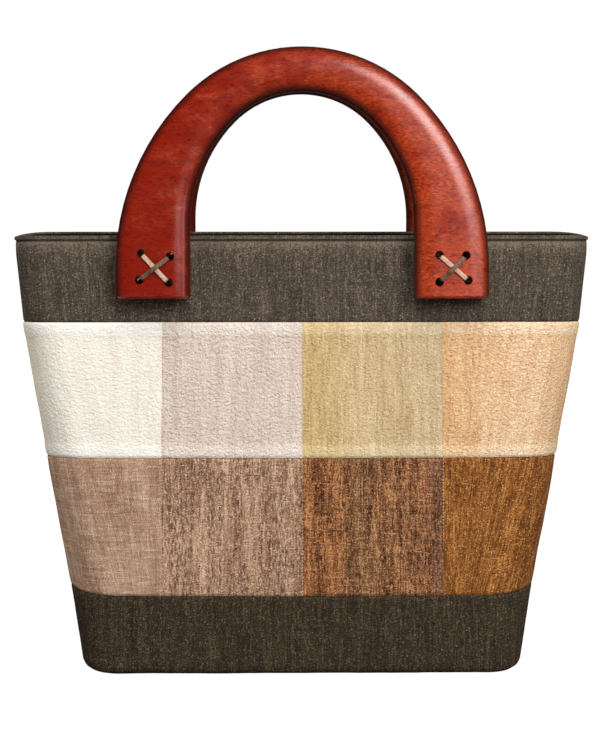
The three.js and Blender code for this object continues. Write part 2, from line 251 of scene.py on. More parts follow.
# %% [markdown]
# ## Cutting and sewing cloth
# Each piece of cloth is cut flat and then bent round the wall. A grid is the cut cloth: its rows lie
# close together by the seams, where the cloth dives into the ditch, and further apart between them.
# The grid's corners are moved onto the wall, because the wall curves two ways. The flat size stays
# in the UV map, in metres, so that a weave keeps its scale and runs round the rounded ends.

# %% Places along a cut edge
SEAM_STEPS = np.array([0, 0.3, 0.7, 1.2, 1.8, 2.6, 3.8])
PITCH = 2.2


def seam_steps(length):
    """Places along a cut edge: close together by its two seams and even between them."""
    inner = length - 2 * SEAM_STEPS[-1]
    count = max(2, round(inner / PITCH))
    middle = SEAM_STEPS[-1] + inner * np.arange(1, count) / count
    return np.concatenate([SEAM_STEPS, middle, length - SEAM_STEPS[::-1]])


def run_along(points):
    """Length along a line of points, from its start to each of them."""
    return np.concatenate([[0], np.cumsum(np.linalg.norm(np.diff(points, axis=0), axis=1))])


print("steps across an 80 mm patch:", len(seam_steps(80)))

# %% The cut of a cloth
SEAM_GAP = 0.005
SAMPLES_ACROSS = 1500
SAMPLES_UP = 600


class Cut:
    """The flat cut of a cloth between two stations and two levels of the wall."""

    def __init__(self, stations, levels, width_at):
        self.stations = np.linspace(*stations, SAMPLES_ACROSS)
        self.levels = np.linspace(*levels, SAMPLES_UP)
        self.along = run_along(wall(self.stations, np.full(SAMPLES_ACROSS, float(width_at))))
        self.upward = run_along(wall(np.full(SAMPLES_UP, np.mean(stations)), self.levels))
        self.width = self.along[-1]
        self.length = self.upward[-1]

    def on_wall(self, across, up):
        """Stations and levels of places on the flat cloth, a seam's gap inside its edges."""
        across = SEAM_GAP + across * (1 - 2 * SEAM_GAP / self.width)
        up = SEAM_GAP + up * (1 - 2 * SEAM_GAP / self.length)
        return np.interp(across, self.along, self.stations), np.interp(up, self.upward, self.levels)


print("width of a middle patch:", round(Cut((0, 1), (AT_BASE, AT_MID), AT_MID).width, 1), "mm")


# %% Bend a cut cloth round the wall
def add_slots(piece):
    """Two empty material slots, so that modifiers and joins keep the faces of two finishes apart."""
    for _ in range(2):
        piece.data.materials.append(None)


def keep_flat(cloth, flat):
    """Writes the flat place of each corner of a cloth into its UV map."""
    corners = np.empty(len(cloth.data.loops), int)
    cloth.data.loops.foreach_get("vertex_index", corners)
    cloth.data.uv_layers[0].name = "cloth"
    cloth.data.uv_layers[0].data.foreach_set("uv", flat[corners].ravel())


def lay_cloth(name, cut, rows, relief, **marks):
    """A grid bent round the wall. A row has a place up the cloth, and moves out and up from it."""
    across, (up, out, rise) = seam_steps(cut.width), np.array(rows).T
    bpy.ops.mesh.primitive_grid_add(x_subdivisions=len(across) - 1, y_subdivisions=len(up) - 1, size=1)
    cloth = bpy.context.object
    cloth.name = cloth.data.name = name
    flat_across, flat_up = np.meshgrid(across, up)
    places, _, upwards, outwards = wall_frame(*cut.on_wall(flat_across, flat_up))
    moved_out = out[:, None] + relief(flat_across, flat_up)
    places = places + outwards * moved_out[..., None] + upwards * rise[:, None, None]
    cloth.data.vertices.foreach_set("co", (places * MM).ravel())
    woven_up = run_along(np.stack([up + rise, out], -1))
    keep_flat(cloth, np.stack(np.meshgrid(across, woven_up), -1).reshape(-1, 2) * MM)
    for mark, share in marks.items():
        attribute = cloth.data.attributes.new(mark, "FLOAT", "POINT")
        attribute.data.foreach_set("value", share(flat_across, flat_up).ravel())
    add_slots(cloth)
    cloth.data.update()
    print(name, round(cut.width, 1), "x", round(cut.length, 1), "mm, rows:", len(rows))
    return cloth


print("gap of a seam:", 2 * SEAM_GAP, "mm")

# %% [markdown]
# ## Finishing a cloth
# The laid grid is only the outer face. Two Displace modifiers give it the slow waves and small dents
# of sewn cloth, and Solidify gives it its 2 mm wall. The back of the bag is the front turned half
# round, so each piece is made once and copied, and each copy has its own mesh.

# %% Modifiers
CLOTH = 2


def finish_with(piece, kind, **settings):
    """Adds a modifier, sets it and applies it."""
    bpy.context.view_layer.objects.active = piece
    modifier = piece.modifiers.new(kind.lower(), kind)
    for option, value in settings.items():
        setattr(modifier, option, value)
    bpy.ops.object.modifier_apply(modifier=modifier.name)


def waves(name, size):
    """A cloudy texture, its clouds as large as a size in millimetres."""
    texture = bpy.data.textures.new(name, "CLOUDS")
    texture.noise_scale = size * MM
    texture.noise_depth = 1
    return texture


SLOW_WAVES = waves("slow_waves", 34)
SMALL_DENTS = waves("small_dents", 9)


def thicken(cloth, wave, dent):
    """Waves and dents, in millimetres, then the thickness of the wall, inwards."""
    for texture, height in ((SLOW_WAVES, wave), (SMALL_DENTS, dent)):
        finish_with(cloth, "DISPLACE", texture=texture, strength=height * MM, mid_level=0.5,
                    vertex_group="open")
    # The inner faces take the second slot: the dark inside finish, which is painted shade.
    finish_with(cloth, "SOLIDIFY", thickness=CLOTH * MM, offset=-1, material_offset=1)


print("wall thickness:", CLOTH, "mm")


# %% Choosing and copying
def choose(*pieces):
    """Selects only these pieces and makes the first one active."""
    bpy.ops.object.select_all(action="DESELECT")
    for piece in pieces:
        piece.select_set(True)
    bpy.context.view_layer.objects.active = pieces[0]


def duplicate(piece):
    """A copy with a mesh of its own, which is then the only one selected."""
    choose(piece)
    bpy.ops.object.duplicate(linked=False)
    return bpy.context.object


def copy_to_back(piece, name):
    """A copy turned half round the bag."""
    copied = duplicate(piece)
    bpy.ops.transform.rotate(value=math.pi, orient_axis="Z", center_override=(0, 0, 0))
    bpy.ops.object.transform_apply(location=True, rotation=True, scale=True)
    copied.name = copied.data.name = name
    return copied


print("copying helpers:", [helper.__name__ for helper in (choose, duplicate, copy_to_back)])

# %% [markdown]
# ## Patches
# Eight patches make a panel: four pale ones over four brown ones. Each dives into the ditch at its
# seams. The upper ones also stand a little proud along their top and bottom, where the seam
# allowance is pressed under them. These are small moves of the wall's face, so they are added to
# the grid as a relief that depends on the distance from each seam. The same distances are kept as
# marks on the grid, because the finish paints shade and lint into the ditches, and paints the
# pressed strips paler, as a highlight where they stand proud.

# %% Relief of a patch
DITCH_DEPTH = 0.55
DITCH_WIDTH = 0.75
SIDE_SHARE = 0.35
PUFF = 0.35
PUFF_POWER = 8
ALLOWANCE = 7
ALLOWANCE_RISE = 0.35
ALLOWANCE_SOFTNESS = 1.6


def to_end(place, length):
    """Distance from the nearer end of a length."""
    return np.minimum(place, length - place)


def ditch(distance):
    """1 in a seam and 0 away from it."""
    return np.exp(-((distance / DITCH_WIDTH) ** 2))


def step_down(distance, edge, softness):
    """1 nearer than the edge and 0 past it, with a soft step between."""
    share = np.clip((edge + softness / 2 - distance) / softness, 0, 1)
    return share * share * (3 - 2 * share)


def patch_shape(cut, upper):
    """The relief of a patch and its two marks. The seams at its sides are shallower than at its ends."""
    def seam(across, up):
        return np.maximum(SIDE_SHARE * ditch(to_end(across, cut.width)), ditch(to_end(up, cut.length)))

    def pressed(across, up):
        return upper * step_down(to_end(up, cut.length), ALLOWANCE, ALLOWANCE_SOFTNESS)

    def relief(across, up):
        falls_across = (2 * across / cut.width - 1) ** PUFF_POWER
        falls_up = (2 * up / cut.length - 1) ** PUFF_POWER
        puff = PUFF * (1 - falls_across) * (1 - falls_up)
        return puff + ALLOWANCE_RISE * pressed(across, up) - DITCH_DEPTH * seam(across, up)

    return {"relief": relief, "seam": seam, "pressed": pressed}


print("ditch:", DITCH_DEPTH, "mm deep")

# %% Sew the patches
PATCHES = [
    ("cream", (-3, -1), "upper"), ("mushroom", (-1, 0), "upper"), ("khaki", (0, 1), "upper"),
    ("peach", (1, 3), "upper"), ("taupe", (-3, -1), "lower"), ("bark", (-1, 0), "lower"),
    ("russet", (0, 1), "lower"), ("ochre", (1, 3), "lower"),
]
PATCH_LEVELS = {"upper": (AT_MID, AT_TOP), "lower": (AT_BASE, AT_MID)}


def open_cloth(piece):
    """Weights for the waves: full in the open cloth and none at the seams."""
    group = piece.vertex_groups.new(name="open")
    near_seam = piece.data.attributes["seam"].data
    for vertex in piece.data.vertices:
        group.add([vertex.index], max(0, 1 - near_seam[vertex.index].value), "REPLACE")


patches, cuts = {}, {}
for cloth_name, stations, row in PATCHES:
    cut = Cut(stations, PATCH_LEVELS[row], AT_MID)
    rows = [(place, 0, 0) for place in seam_steps(cut.length)]
    patch = lay_cloth(f"front_{cloth_name}_patch", cut, rows, **patch_shape(cut, row == "upper"))
    open_cloth(patch)
    thicken(patch, wave=0.9, dent=0.25)
    patches[cloth_name], cuts[cloth_name] = patch, cut
print("patches:", len(patches))

# %% [markdown]
# ## Top band
# The band is folded over at the rim, and a row of topstitching presses a groove under the fold. Here
# the thickness isn't a modifier: the rows of the grid run up the outside, round the fold and down
# the inside, as the cloth does. The two ends of that sleeve are then filled, and its first and last
# rows merged, so the band is closed all round.

# %% Rows of the band
FOLD_RADIUS = CLOTH / 2
FOLD_STEPS = 6
RIM_STEPS = np.array([4.4, 3.8, 3.4, 3.1, 2.9, 2.7, 2.4, 2.0, 1.5])
STEPS_LEFT_OUT = 5
INSIDE_STEP = 3
band_cut = Cut((-SIDE_SEAM, SIDE_SEAM), (AT_TOP, AT_RIM), AT_RIM)
below_fold = band_cut.length - FOLD_RADIUS
climb = np.concatenate([seam_steps(band_cut.length)[:-STEPS_LEFT_OUT], band_cut.length - RIM_STEPS])
climb = np.unique(climb[climb < below_fold].round(3))
fold = [(below_fold, FOLD_RADIUS * (math.cos(turn) - 1), FOLD_RADIUS * math.sin(turn))
        for turn in np.linspace(0, math.pi, FOLD_STEPS + 1)]
outside = [(place, 0, 0) for place in climb]
inside = [(place, -CLOTH, 0) for place in climb[::-INSIDE_STEP]]
band_rows = [*outside, *fold, *inside, (climb[0], -CLOTH, 0), (climb[0], 0, 0)]
print("rows up the outside:", len(outside), "down the inside:", len(inside))

# %% Relief of the band
GROOVE_BELOW_RIM = 2.9
GROOVE_DEPTH = 1.1
GROOVE_WIDTH = 0.75
PRESSED_BELOW_RIM = 10
PRESSED_SHARE = 0.7
BOTTOM_SHARE = 0.5


def on_outside(up):
    """1 on the rows of the outside, with the last row, which meets the first, and 0 on the others."""
    share = np.zeros_like(up)
    share[:len(outside)] = share[-1] = 1
    return share


def groove(up):
    """1 in the groove under the rim and 0 away from it."""
    return np.exp(-(((band_cut.length - up - GROOVE_BELOW_RIM) / GROOVE_WIDTH) ** 2))


def band_relief(across, up):
    """The groove, the cloth pressed down below it, and the ditches at the bottom and the sides."""
    below_rim = band_cut.length - up
    pressed = np.where(below_rim > GROOVE_BELOW_RIM, np.clip(1 - below_rim / PRESSED_BELOW_RIM, 0, 1), 0)
    sunk = GROOVE_DEPTH * np.maximum(groove(up), PRESSED_SHARE * pressed)
    bottom_seam = np.where(up < SEAM_STEPS[1] / 2, BOTTOM_SHARE, ditch(up))
    seams = np.maximum(bottom_seam, ditch(to_end(across, band_cut.width)))
    return -on_outside(up) * (sunk + DITCH_DEPTH * seams)


print("groove:", GROOVE_DEPTH, "mm deep,", GROOVE_BELOW_RIM, "mm below the rim")

# %% Fold the band over the rim
SEAM_SHARE = 0.5
# The bead of the fold is painted paler as a highlight; below the groove the cloth is paler, fading out
# downward.
BEAD_HIGHLIGHT = 1.7
PALENESS_BELOW_GROOVE = 2.2
PALENESS_FADES = 3.5


def band_seam(across, up):
    """The mark of the groove and, at a smaller share, of the ditches, where the finish paints shade."""
    seams = SEAM_SHARE * np.maximum(ditch(up), ditch(to_end(across, band_cut.width)))
    return on_outside(up) * np.maximum(groove(up), seams)


def band_bead_highlight_and_paleness(across, up):
    """The mark of the folded edge, painted paler as a highlight, and of a paleness that fades out below
    the groove.
    """
    below_groove = band_cut.length - GROOVE_BELOW_RIM - up
    paler_below_groove = PALENESS_BELOW_GROOVE * np.exp(-np.maximum(below_groove, 0) / PALENESS_FADES)
    return on_outside(up) * np.where(below_groove > 0, paler_below_groove, BEAD_HIGHLIGHT)


band = lay_cloth("front_top_band", band_cut, band_rows, band_relief,
                 seam=band_seam, pressed=band_bead_highlight_and_paleness)
in_a_row = len(band.data.vertices) // len(band_rows)
# Faces down the inside take the second slot, the dark inside finish that paints the shade in the bag.
for face in band.data.polygons:
    face.material_index = int(face.vertices[0] // in_a_row >= len(outside) + FOLD_STEPS)
print("faces on the inside:", sum(face.material_index for face in band.data.polygons))

# %% [markdown]
# ## Working in edit mode
# By hand, a piece is shaped in edit mode: some faces are selected, and an operator acts on them. The
# same is done here in code. One helper goes into edit mode with the faces or vertices selected that a
# question about their place or direction picks out, and comes back to object mode at the end.

# %% Edit mode
MERGES = 0.01 * MM


@contextlib.contextmanager
def editing(piece, kind="FACE", wanted=None):
    """Edit mode on one piece, with its wanted faces or vertices selected, or with all of it."""
    choose(piece)
    bpy.ops.object.mode_set(mode="EDIT")
    bpy.ops.mesh.select_mode(type=kind)
    bpy.ops.mesh.select_all(action="DESELECT" if wanted else "SELECT")
    if wanted:
        bpy.ops.object.mode_set(mode="OBJECT")
        for item in piece.data.vertices if kind == "VERT" else piece.data.polygons:
            item.select = wanted(item)
        bpy.ops.object.mode_set(mode="EDIT")
    yield
    bpy.ops.object.mode_set(mode="OBJECT")


with editing(band, "EDGE"):
    bpy.ops.mesh.remove_doubles(threshold=MERGES)
    bpy.ops.mesh.select_all(action="DESELECT")
    bpy.ops.mesh.select_non_manifold(extend=False)
    bpy.ops.mesh.fill()
    bpy.ops.mesh.select_all(action="SELECT")
    bpy.ops.mesh.normals_make_consistent(inside=False)
    bpy.ops.mesh.select_all(action="DESELECT")
    bpy.ops.mesh.select_non_manifold(extend=False)
open_edges = sum(edge.select for edge in band.data.edges)
print("band faces:", len(band.data.polygons), "open edges:", open_edges)

# %% [markdown]
# ## Base
# The base wall rolls under at the floor and ends in a flat hem, and the bottom cloth lies inside that
# hem. The wall is laid like a patch. The bottom is a grid too, stretched between the front and the
# back line of the hem.

# %% Base wall
base_cut = Cut((-SIDE_SEAM, SIDE_SEAM), (0, AT_BASE), AT_BASE)
base_rows = [(place, 0, 0) for place in seam_steps(base_cut.length)]


def base_seam(across, up):
    """1 in the ditches at the sides and the top, and 0 away from them."""
    return np.maximum(ditch(to_end(across, base_cut.width)), ditch(base_cut.length - up))


def base_relief(across, up):
    """Only the ditches are sunk."""
    return -DITCH_DEPTH * base_seam(across, up)


# Its seam mark also tells the finish where to paint shade into the ditches.
base = lay_cloth("front_base", base_cut, base_rows, base_relief, seam=base_seam)
open_cloth(base)
thicken(base, wave=0.5, dent=0.2)
print("base faces:", len(base.data.polygons))

# %% Bottom cloth
BOTTOM_GAP = 0.3
BOTTOM_COLUMNS = 90
BOTTOM_ROWS = 24
bpy.ops.mesh.primitive_grid_add(x_subdivisions=BOTTOM_COLUMNS, y_subdivisions=BOTTOM_ROWS, size=2)
bottom = bpy.context.object
bottom.name = bottom.data.name = "bottom_cloth"
add_slots(bottom)
shares = np.array([vertex.co.xy for vertex in bottom.data.vertices])
inside_hem = np.full(len(shares), -BOTTOM_GAP / HEM)
hem_line = wall(SIDE_SEAM * np.sin(shares[:, 0] * math.pi / 2), inside_hem)
flat = np.stack([hem_line[:, 0], -hem_line[:, 1] * shares[:, 1]], -1) * MM
bottom.data.vertices.foreach_set("co", np.insert(flat, 2, 0, axis=1).ravel())
keep_flat(bottom, flat)
bottom.data.update()
# Its upper face takes the second slot: the dark inside finish, which is painted shade.
finish_with(bottom, "SOLIDIFY", thickness=CLOTH * MM, offset=1, material_offset=1)
print("bottom:", [round(size / MM, 1) for size in bottom.dimensions], "mm")

# %% [markdown]
# ## Handle
# The handle is sawn from a board: an arch, wider at its feet than at its top, with its edges rounded
# over. It could be a curve with a profile, but its width changes all the way. So a plane is the start
# of a foot, and its end edge is extruded, turned and scaled from station to station up to the crown.
# Mirror makes the other half and Solidify a thin core. Its two faces are then inset step by step,
# each step less steep, because a bevel's edge is round and these are elliptic. The feet start too
# long and are sawn off square at the end, as on the bench.

# %% Arch of the handle, in millimetres from the rim
FOOT_BOTTOM = -35.8
FOOT_SPARE = 36
SHOULDER = math.pi / 4
ARC_STEPS = 12


def arch_edge(top, top_radius, half_width):
    """Points of one edge of the arch's right half: its leg, a wide side arc and a tighter top arc."""
    side_radius = (half_width - top_radius * math.sin(SHOULDER)) / (1 - math.cos(SHOULDER))
    shoulder_height = top - top_radius * (1 - math.cos(SHOULDER))
    side_height = shoulder_height - side_radius * math.sin(SHOULDER)
    points = [(half_width, FOOT_BOTTOM - FOOT_SPARE), (half_width, FOOT_BOTTOM)]
    for angle in np.linspace(0, SHOULDER, ARC_STEPS, endpoint=False):
        drawn_in = side_radius * (1 - math.cos(angle))
        points.append((half_width - drawn_in, side_height + side_radius * math.sin(angle)))
    for angle in np.linspace(SHOULDER, math.pi / 2, ARC_STEPS + 1):
        points.append((top_radius * math.cos(angle), top - top_radius * (1 - math.sin(angle))))
    return [Vector((x, 0, z)) for x, z in points]


outer_edge = arch_edge(top=105.2, top_radius=92, half_width=105)
inner_edge = arch_edge(top=80.1, top_radius=55, half_width=62.9)
print("stations of the handle:", len(outer_edge))


# %% Extrude a strip along its stations
def extrude_strip(name, left, right):
    """A plane between the first two stations, its end edge extruded, turned and scaled to the others."""
    bpy.ops.mesh.primitive_plane_add(size=1)
    strip = bpy.context.object
    strip.name = strip.data.name = name
    for vertex, place in zip(strip.data.vertices, (left[0], right[0], left[1], right[1])):
        vertex.co = place * MM
    with editing(strip, "VERT", lambda vertex: vertex.index > 1):
        for near in range(1, len(left) - 1):
            before, after = right[near] - left[near], right[near + 1] - left[near + 1]
            centre = (left[near + 1] + right[near + 1]) / 2
            move = centre - (left[near] + right[near]) / 2
            turn = math.atan2(after.z, after.x) - math.atan2(before.z, before.x)
            grow = after.length / before.length
            bpy.ops.mesh.extrude_region_move(TRANSFORM_OT_translate={"value": move * MM})
            bpy.ops.transform.rotate(value=turn, orient_axis="Y", center_override=centre * MM)
            bpy.ops.transform.resize(value=(grow, grow, grow), center_override=centre * MM)
        bpy.ops.mesh.select_all(action="SELECT")
        bpy.ops.mesh.normals_make_consistent(inside=False)
    return strip


handle = extrude_strip("front_handle", inner_edge, outer_edge)
crown = [vertex.co / MM for vertex in handle.data.vertices][-2:]
print("crown of the strip:", [tuple(round(value, 2) for value in point) for point in crown])

# %% Both halves and the core of the board
GAP = 0.3
HANDLE_THICKNESS = 15
EDGE_WIDTH = 12
EDGE_DEPTH = 6
HALVES_MERGE = 0.02 * MM
finish_with(handle, "MIRROR", use_axis=(True, False, False), merge_threshold=HALVES_MERGE)
with editing(handle):
    bpy.ops.mesh.remove_doubles(threshold=HALVES_MERGE)
    bpy.ops.mesh.normals_make_consistent(inside=False)
forwards = 1 if handle.data.polygons[0].normal.y < 0 else -1
finish_with(handle, "SOLIDIFY", thickness=(HANDLE_THICKNESS - 2 * EDGE_DEPTH) * MM, offset=forwards)
handle.data.transform(Matrix.Translation((0, -(GAP + EDGE_DEPTH) * MM, 0)))
print("core of the handle:", [round(size / MM, 1) for size in handle.dimensions], "mm")

# %% Round the edges over and saw the feet
EDGE_STEPS = 12
SQUARE_ON = 0.9
turns = np.linspace(0, math.pi / 2, EDGE_STEPS + 1)
for way in (-1, 1):
    with editing(handle, "FACE", lambda face: face.normal.y * way > SQUARE_ON):
        for turn, further in zip(turns, turns[1:]):
            bpy.ops.mesh.inset(thickness=EDGE_WIDTH * (math.cos(turn) - math.cos(further)) * MM,
                               depth=EDGE_DEPTH * (math.sin(further) - math.sin(turn)) * MM)
with editing(handle):
    bpy.ops.mesh.bisect(plane_co=(0, 0, FOOT_BOTTOM * MM), plane_no=(0, 0, 1),
                        use_fill=True, clear_inner=True)
print("handle:", [round(size / MM, 1) for size in handle.dimensions], "mm")

# %% [markdown]
# ## Lace holes
# Four holes are drilled through each foot and on through the band, by eye, so they aren't on a square.
# A Boolean with round cutters is the quickest way to drill, and the same cutters serve the handle and
# the band. Each cutter widens at its tip, which breaks the sharp rim of the hole.

# %% A drill
HOLE_RADIUS = 2.35
HOLE_SIDES = 24
FLARE = 0.3
DRILL_LENGTH = 45
tip = -(HANDLE_THICKNESS + GAP - FLARE)
flared_tip = tip - 2 * FLARE
flared = (HOLE_RADIUS + 2 * FLARE) / HOLE_RADIUS
bpy.ops.mesh.primitive_cylinder_add(
    vertices=HOLE_SIDES, radius=HOLE_RADIUS * MM, depth=DRILL_LENGTH * MM,
    location=(0, (tip + DRILL_LENGTH / 2) * MM, 0), rotation=(math.pi / 2, 0, 0))
drill = bpy.context.object
bpy.ops.object.transform_apply(location=True, rotation=True, scale=True)
with editing(drill, "FACE", lambda face: face.normal.y < -SQUARE_ON):
    bpy.ops.mesh.extrude_region_move(TRANSFORM_OT_translate={"value": (0, (flared_tip - tip) * MM, 0)})
    bpy.ops.transform.resize(value=(flared, 1, flared), center_override=(0, flared_tip * MM, 0))
print("faces of a drill:", len(drill.data.polygons))

# %% A drill for each hole
LACE_HOLES = {
    "left": {"upper_left": (-90.2, -10.7), "upper_right": (-74.1, -12.3),
             "lower_left": (-91.3, -25.5), "lower_right": (-74.9, -27)},
    "right": {"upper_left": (76.5, -11.6), "upper_right": (91.5, -11.9),
              "lower_left": (76.6, -26.8), "lower_right": (92.7, -25.8)},
}
places = [place for foot in LACE_HOLES.values() for place in foot.values()]
drills = [drill, *[duplicate(drill) for _ in places[1:]]]
for copied, (x, z) in zip(drills, places):
    copied.data.transform(Matrix.Translation((x * MM, 0, z * MM)))
choose(*drills)
bpy.ops.object.join()
print("holes:", len(places))

# %% Break the sawn rims and drill the handle
SAWN_EDGE = 1.2
SAWN_BELOW = (FOOT_BOTTOM + 0.5) * MM
with editing(handle, "FACE", lambda face: face.normal.z < -SQUARE_ON and face.center.z < SAWN_BELOW):
    bpy.ops.mesh.region_to_loop()
    bpy.ops.mesh.bevel(offset=SAWN_EDGE * MM, segments=1, affect="EDGES")
finish_with(handle, "BOOLEAN", object=drill, operation="DIFFERENCE", solver="EXACT")
print("handle faces:", len(handle.data.polygons))

# %% [markdown]
# ## Setting the handle on the band
# The stain has gathered along the edges of the arch, and its dark there also paints the shade on the
# edges and inner sides that turn from the light, so each vertex first gets a mark: how far it is in from
# the nearest edge. Then the handle is set on the band, which leans back a little. The frame of the band
# is a matrix: its origin on the rim, turned by the lean. Pieces made square on are moved by it into
# place, and the move is kept in their mesh, so that every object stays at the origin.

# %% Measure the way in from the edges
EDGE_SAMPLES = 20
edge_places = np.array([
    start.lerp(end, share).xz for edge in (outer_edge, inner_edge) for start, end in zip(edge, edge[1:])
    for share in np.linspace(0, 1, EDGE_SAMPLES)])
ways_in = []
for vertex in handle.data.vertices:
    place = np.array([abs(vertex.co.x), vertex.co.z]) / MM
    ways_in.append(np.linalg.norm(edge_places - place, axis=1).min())
handle.data.attributes.new("inward", "FLOAT", "POINT").data.foreach_set("value", ways_in)
print("furthest from an edge:", round(max(ways_in), 1), "mm")

# %% Lean the handle
LEAN = math.atan2(TOP_SEAM[3] - RIM[3], RIM[0] - TOP_SEAM[0])
ON_BAND = Matrix.Translation((0, -RIM[3] * MM, RIM[0] * MM)) @ Matrix.Rotation(-LEAN, 4, "X")
handle.data.transform(ON_BAND)
drill.data.transform(ON_BAND)
finish_with(band, "BOOLEAN", object=drill, operation="DIFFERENCE", solver="EXACT")
bpy.data.objects.remove(drill)
print("lean:", round(math.degrees(LEAN), 2), "degrees")

# %% [markdown]
# ## Laces
# A flat thong crosses each foot from corner to corner, and a second one crosses over it. Each comes
# out of one hole, lies on the wood and goes back through another. Every thong is a plane whose end
# edge is extruded along that path, as the handle's was, then given its thickness and soft edges.

# %% Path of a lace
LACE_THICKNESS = 0.9
LACE_INWARD = 1.7
LACE_BEND = 0.7
LACE_TAIL = 9
BEND_STEPS = 5
# distances from the crossing, and how much of its lift the upper lace has there
CROSSING = ((4.4, 0), (3.9, 0.18), (3.4, 0.5), (2.9, 0.82), (2.4, 1), (0.8, 1.04))


def lace_path(span, lift):
    """Places along the foot and out of the wall, from one tail to the other."""
    hole = -span / 2
    deep = -(CLOTH + GAP + LACE_THICKNESS / 2)
    on_wood = HANDLE_THICKNESS + 2 * GAP + LACE_THICKNESS / 2
    bend = [(LACE_BEND * (1 - math.sin(turn)), LACE_BEND * (1 - math.cos(turn)))
            for turn in np.linspace(0, math.pi / 2, BEND_STEPS + 1)]
    half = [(hole - LACE_TAIL, deep)]
    half += [(hole - before, deep + after) for before, after in bend]
    half += [(hole + after, on_wood - before) for before, after in bend]
    half += [(-distance, on_wood + share * lift) for distance, share in CROSSING]
    return half + [(-place, out) for place, out in reversed(half)]


print("stations of a lace:", len(lace_path(span=20, lift=1)))

# %% Extrude the laces
LACE_WIDTH = 2.5
LACE_SOFTNESS = 0.22
SHARP = math.radians(50)
OUTWARDS = Vector((0, -1, 0))
STRANDS = [
    # name, first hole, last hole, lift where the strands cross
    ("under", "upper_left", "lower_right", 0),
    ("over", "lower_left", "upper_right", LACE_THICKNESS + GAP),
]


def make_lace(name, start, end, lift):
    """A thong between two holes, extruded along its path, thickened and softened."""
    start, end = (Vector((x, 0, z)) for x, z in (start, end))
    along = (end - start).normalized()
    path = lace_path((end - start).length - 2 * LACE_INWARD, lift)
    points = [(start + end) / 2 + along * place + OUTWARDS * out for place, out in path]
    half = OUTWARDS.cross(along) * LACE_WIDTH / 2
    lace = extrude_strip(name, [point - half for point in points], [point + half for point in points])
    finish_with(lace, "SOLIDIFY", thickness=LACE_THICKNESS * MM, offset=0)
    finish_with(lace, "BEVEL", width=LACE_SOFTNESS * MM, segments=2,
                limit_method="ANGLE", angle_limit=SHARP)
    lace.data.transform(ON_BAND)
    return lace


laces = {}
for foot, holes in LACE_HOLES.items():
    for strand, start, end, lift in STRANDS:
        laces[foot, strand] = make_lace(f"front_{foot}_{strand}_lace", holes[start], holes[end], lift)
print("laces:", [lace.name for lace in laces.values()])

# %% [markdown]
# ## Stitches
# The side seams of the patches show as dotted lines of pale thread, and the rim has a row of dark
# topstitching in its groove. One stitch is a small cylinder with drawn-in ends, and it is copied along
# the seams. The copies are joined into one piece for each side of the bag. The height of a stitch
# says which thread it is.

# %% One stitch
STITCH_LENGTH = 1.3
STITCH_RADIUS = 0.27
STITCH_SIDES = 6
BARREL_SHARE = 0.6
END_SINKS = -0.12 * MM
DRAWN_IN = (0.4, 0.4, 0.4)
bpy.ops.mesh.primitive_cylinder_add(
    vertices=STITCH_SIDES, radius=STITCH_RADIUS * MM, depth=BARREL_SHARE * STITCH_LENGTH * MM,
    rotation=(0, math.pi / 2, 0))
stitch = bpy.context.object
bpy.ops.object.transform_apply(location=False, rotation=True, scale=False)
for end in (-1, 1):
    half = end * STITCH_LENGTH / 2 * MM
    with editing(stitch, "FACE", lambda face: face.normal.x * end > SQUARE_ON):
        bpy.ops.mesh.extrude_region_move(
            TRANSFORM_OT_translate={"value": (half * (1 - BARREL_SHARE), 0, END_SINKS)})
        bpy.ops.transform.resize(value=DRAWN_IN, center_override=(half, 0, END_SINKS))
print("faces of a stitch:", len(stitch.data.polygons))

# %% Lines of stitches
SEAM_STITCH = 1.9
RIM_STITCH = 1.6
PATCH_HEIGHT = 78
SEAM_ENDS = 0.012
RIM_ENDS = 2
PATCH_SEAMS = (-1.0, 0.0, 1.0)
SEAM_DEPTH = -0.2
RIM_DEPTH = 0.1 - GROOVE_DEPTH
UPRIGHT = 90
RIM_SLANT = 14
seam_levels = np.arange(AT_BASE + SEAM_ENDS, AT_TOP - SEAM_ENDS, SEAM_STITCH / PATCH_HEIGHT)
rim_places = np.linspace(RIM_ENDS, band_cut.width - RIM_ENDS, round(band_cut.width / RIM_STITCH) + 1)
rim_stations = np.interp(rim_places, band_cut.along, band_cut.stations)
groove_level = np.full(len(rim_stations), AT_RIM - GROOVE_BELOW_RIM / (RIM[0] - TOP_SEAM[0]))
# stations, levels, how far out of the wall, slant in degrees
stitch_lines = [(np.full(len(seam_levels), seam), seam_levels, SEAM_DEPTH, UPRIGHT)
                for seam in PATCH_SEAMS]
stitch_lines.append((rim_stations, groove_level, RIM_DEPTH, RIM_SLANT))
print("stitches in a seam:", len(seam_levels), "and along the rim:", len(rim_stations))

# %% Sew along the lines
copies = []
for stations, levels, depth, slant in stitch_lines:
    turn = Matrix.Rotation(math.radians(slant), 4, "Z")
    for place, across, up, out in zip(*wall_frame(stations, levels)):
        placed = Matrix(np.column_stack([across, up, out]).tolist()).to_4x4()
        placed.translation = Vector((place + out * depth) * MM)
        copied = bpy.data.objects.new("stitch", stitch.data.copy())
        copied.data.transform(placed @ turn)
        bpy.context.scene.collection.objects.link(copied)
        copies.append(copied)
bpy.data.objects.remove(stitch)
choose(*copies)
bpy.ops.object.join()
stitches = bpy.context.object
stitches.name = stitches.data.name = "front_stitches"
add_slots(stitches)
for face in stitches.data.polygons:
    face.material_index = int(face.center.z < TOP_SEAM[0] * MM)
print("stitches:", len(copies))


# %% [markdown]
# ## Mixing values and colours
# Every finish is procedural, so it needs arithmetic, noise and mixed colours. Short helpers keep that
# readable. Colours are named as they look on a screen and turned into the linear values that the
# shader needs.

